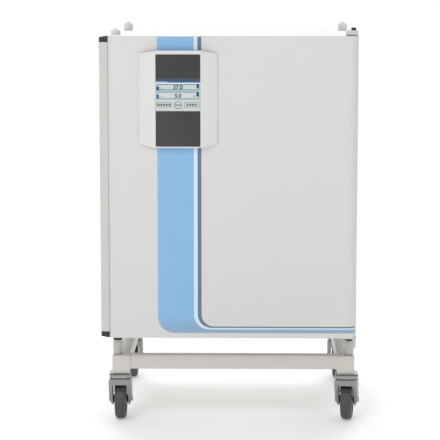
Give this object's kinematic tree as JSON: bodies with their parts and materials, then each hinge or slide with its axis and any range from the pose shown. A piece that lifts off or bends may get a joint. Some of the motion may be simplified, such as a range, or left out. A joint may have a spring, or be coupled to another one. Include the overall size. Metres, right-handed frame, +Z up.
{
  "type": "carbon dioxide incubator",
  "caption": "Cabinet incubator with a hinged outer door, inner glass door, slotted shelves and a control panel, on a wheeled stand.",
  "frame": {"origin": "middle of the footprint's box, on the floor under the wheels", "axes": "+Z up; -Y out of the front door; +X to the right as one faces the door, the hinge side"},
  "size_m": [0.7986, 0.834, 1.2276],
  "materials": {
    "white_paint": "satin",
    "panel_white": "satin",
    "rail_paint": "satin",
    "stainless": "satin",
    "foam": "matte",
    "seal_rubber": "matte",
    "grip_aluminium": "satin",
    "black_plastic": "matte",
    "grey_metal": "satin",
    "display_glass": "gloss",
    "frame_plastic": "satin",
    "pane_glass": "gloss",
    "caster_grey": "satin",
    "tread_rubber": "matte",
    "brass": "satin",
    "silicone": "matte"
  },
  "bodies": {
    "cabinet": {"cabinet_casing": "white_paint", "caster_head_front_left": "caster_grey", "caster_head_front_right": "caster_grey", "caster_head_rear_left": "caster_grey", "caster_head_rear_right": "caster_grey", "chamber": "stainless", "fan_cover": "stainless", "fan_motor": "black_plastic", "front_frame": "white_paint", "gas_fitting": "brass", "hinge_lower": "grey_metal", "hinge_pin_upper": "black_plastic", "hinge_upper": "grey_metal", "insulation": "foam", "levelling_foot_front_left": "grey_metal", "levelling_foot_front_right": "grey_metal", "levelling_foot_rear_left": "grey_metal", "levelling_foot_rear_right": "grey_metal", "power_inlet": "black_plastic", "rear_cover": "white_paint", "sensor_head": "stainless", "shelf_ladder_left": "stainless", "shelf_ladder_right": "stainless", "shelf_lower": "stainless", "shelf_middle": "stainless", "shelf_upper": "stainless", "stacking_stud_front_left": "grey_metal", "stacking_stud_front_right": "grey_metal", "stacking_stud_rear_left": "grey_metal", "stacking_stud_rear_right": "grey_metal", "stand_rail_front": "rail_paint", "stand_rail_left": "rail_paint", "stand_rail_rear": "rail_paint", "stand_rail_right": "rail_paint"},
    "door": {"door_shell": "white_paint", "door_liner": "stainless", "door_gasket": "seal_rubber", "handle_profile": "grip_aluminium", "handle_cap_top": "black_plastic", "handle_cap_bottom": "black_plastic", "panel_housing": "panel_white", "display_glass": "display_glass"},
    "glass_door": {"glass_door_frame": "frame_plastic", "glass_door_pane": "pane_glass"},
    "glass_latch": {"glass_door_latch": "black_plastic"},
    "fan": {"fan_wheel": "stainless"},
    "stopper": {"port_stopper": "silicone"},
    "rocker": {"power_switch": "black_plastic"},
    "caster_front_left": {"caster_fork_front_left": "caster_grey", "caster_axle_front_left": "black_plastic"},
    "wheel_front_left": {"caster_wheel_front_left": "tread_rubber"},
    "caster_front_right": {"caster_fork_front_right": "caster_grey", "caster_axle_front_right": "black_plastic"},
    "wheel_front_right": {"caster_wheel_front_right": "tread_rubber"},
    "caster_rear_left": {"caster_fork_rear_left": "caster_grey", "caster_axle_rear_left": "black_plastic"},
    "wheel_rear_left": {"caster_wheel_rear_left": "tread_rubber"},
    "caster_rear_right": {"caster_fork_rear_right": "caster_grey", "caster_axle_rear_right": "black_plastic"},
    "wheel_rear_right": {"caster_wheel_rear_right": "tread_rubber"}
  },
  "joints": [
    {"name": "door_hinge", "type": "hinge", "parent": "cabinet", "child": "door", "pos_m": [0.36469, -0.37, 0.7425], "axis": [0, 0, 1], "range_deg": [0, 120]},
    {"name": "glass_door_hinge", "type": "hinge", "parent": "cabinet", "child": "glass_door", "pos_m": [0.33219, -0.3253, 0.73], "axis": [0, 0, 1], "range_deg": [0, 80]},
    {"name": "glass_latch_turn", "type": "hinge", "parent": "glass_door", "child": "glass_latch", "pos_m": [-0.31031, -0.3253, 0.73], "axis": [0, 1, 0], "range_deg": [0, 90]},
    {"name": "caster_swivel_front_left", "type": "hinge", "parent": "cabinet", "child": "caster_front_left", "pos_m": [-0.34931, -0.288, 0.1365], "axis": [0, 0, 1], "continuous": true},
    {"name": "caster_roll_front_left", "type": "hinge", "parent": "caster_front_left", "child": "wheel_front_left", "pos_m": [-0.34931, -0.264, 0.0625], "axis": [1, 0, 0], "continuous": true},
    {"name": "caster_swivel_front_right", "type": "hinge", "parent": "cabinet", "child": "caster_front_right", "pos_m": [0.35669, -0.288, 0.1365], "axis": [0, 0, 1], "continuous": true},
    {"name": "caster_roll_front_right", "type": "hinge", "parent": "caster_front_right", "child": "wheel_front_right", "pos_m": [0.36003, -0.26423, 0.0625], "axis": [0.9903, -0.1392, 0], "continuous": true},
    {"name": "caster_swivel_rear_left", "type": "hinge", "parent": "cabinet", "child": "caster_rear_left", "pos_m": [-0.34931, 0.312, 0.1365], "axis": [0, 0, 1], "continuous": true},
    {"name": "caster_roll_rear_left", "type": "hinge", "parent": "caster_rear_left", "child": "wheel_rear_left", "pos_m": [-0.34931, 0.336, 0.0625], "axis": [1, 0, 0], "continuous": true},
    {"name": "caster_swivel_rear_right", "type": "hinge", "parent": "cabinet", "child": "caster_rear_right", "pos_m": [0.35669, 0.312, 0.1365], "axis": [0, 0, 1], "continuous": true},
    {"name": "caster_roll_rear_right", "type": "hinge", "parent": "caster_rear_right", "child": "wheel_rear_right", "pos_m": [0.35669, 0.336, 0.0625], "axis": [1, 0, 0], "continuous": true},
    {"name": "fan_spin", "type": "hinge", "parent": "cabinet", "child": "fan", "pos_m": [0.00369, 0.2546, 0.915], "axis": [0, 1, 0], "continuous": true},
    {"name": "stopper_pull", "type": "slide", "parent": "cabinet", "child": "stopper", "axis": [0, 1, 0], "range_m": [0, 0.08]},
    {"name": "switch_rock", "type": "hinge", "parent": "cabinet", "child": "rocker", "pos_m": [0.13869, 0.3845, 0.42], "axis": [1, 0, 0], "range_deg": [0, 12]}
  ],
  "couplings": [
    {"joint": "glass_door_hinge", "follows": "door_hinge", "ratio": 0.66667}
  ]
}
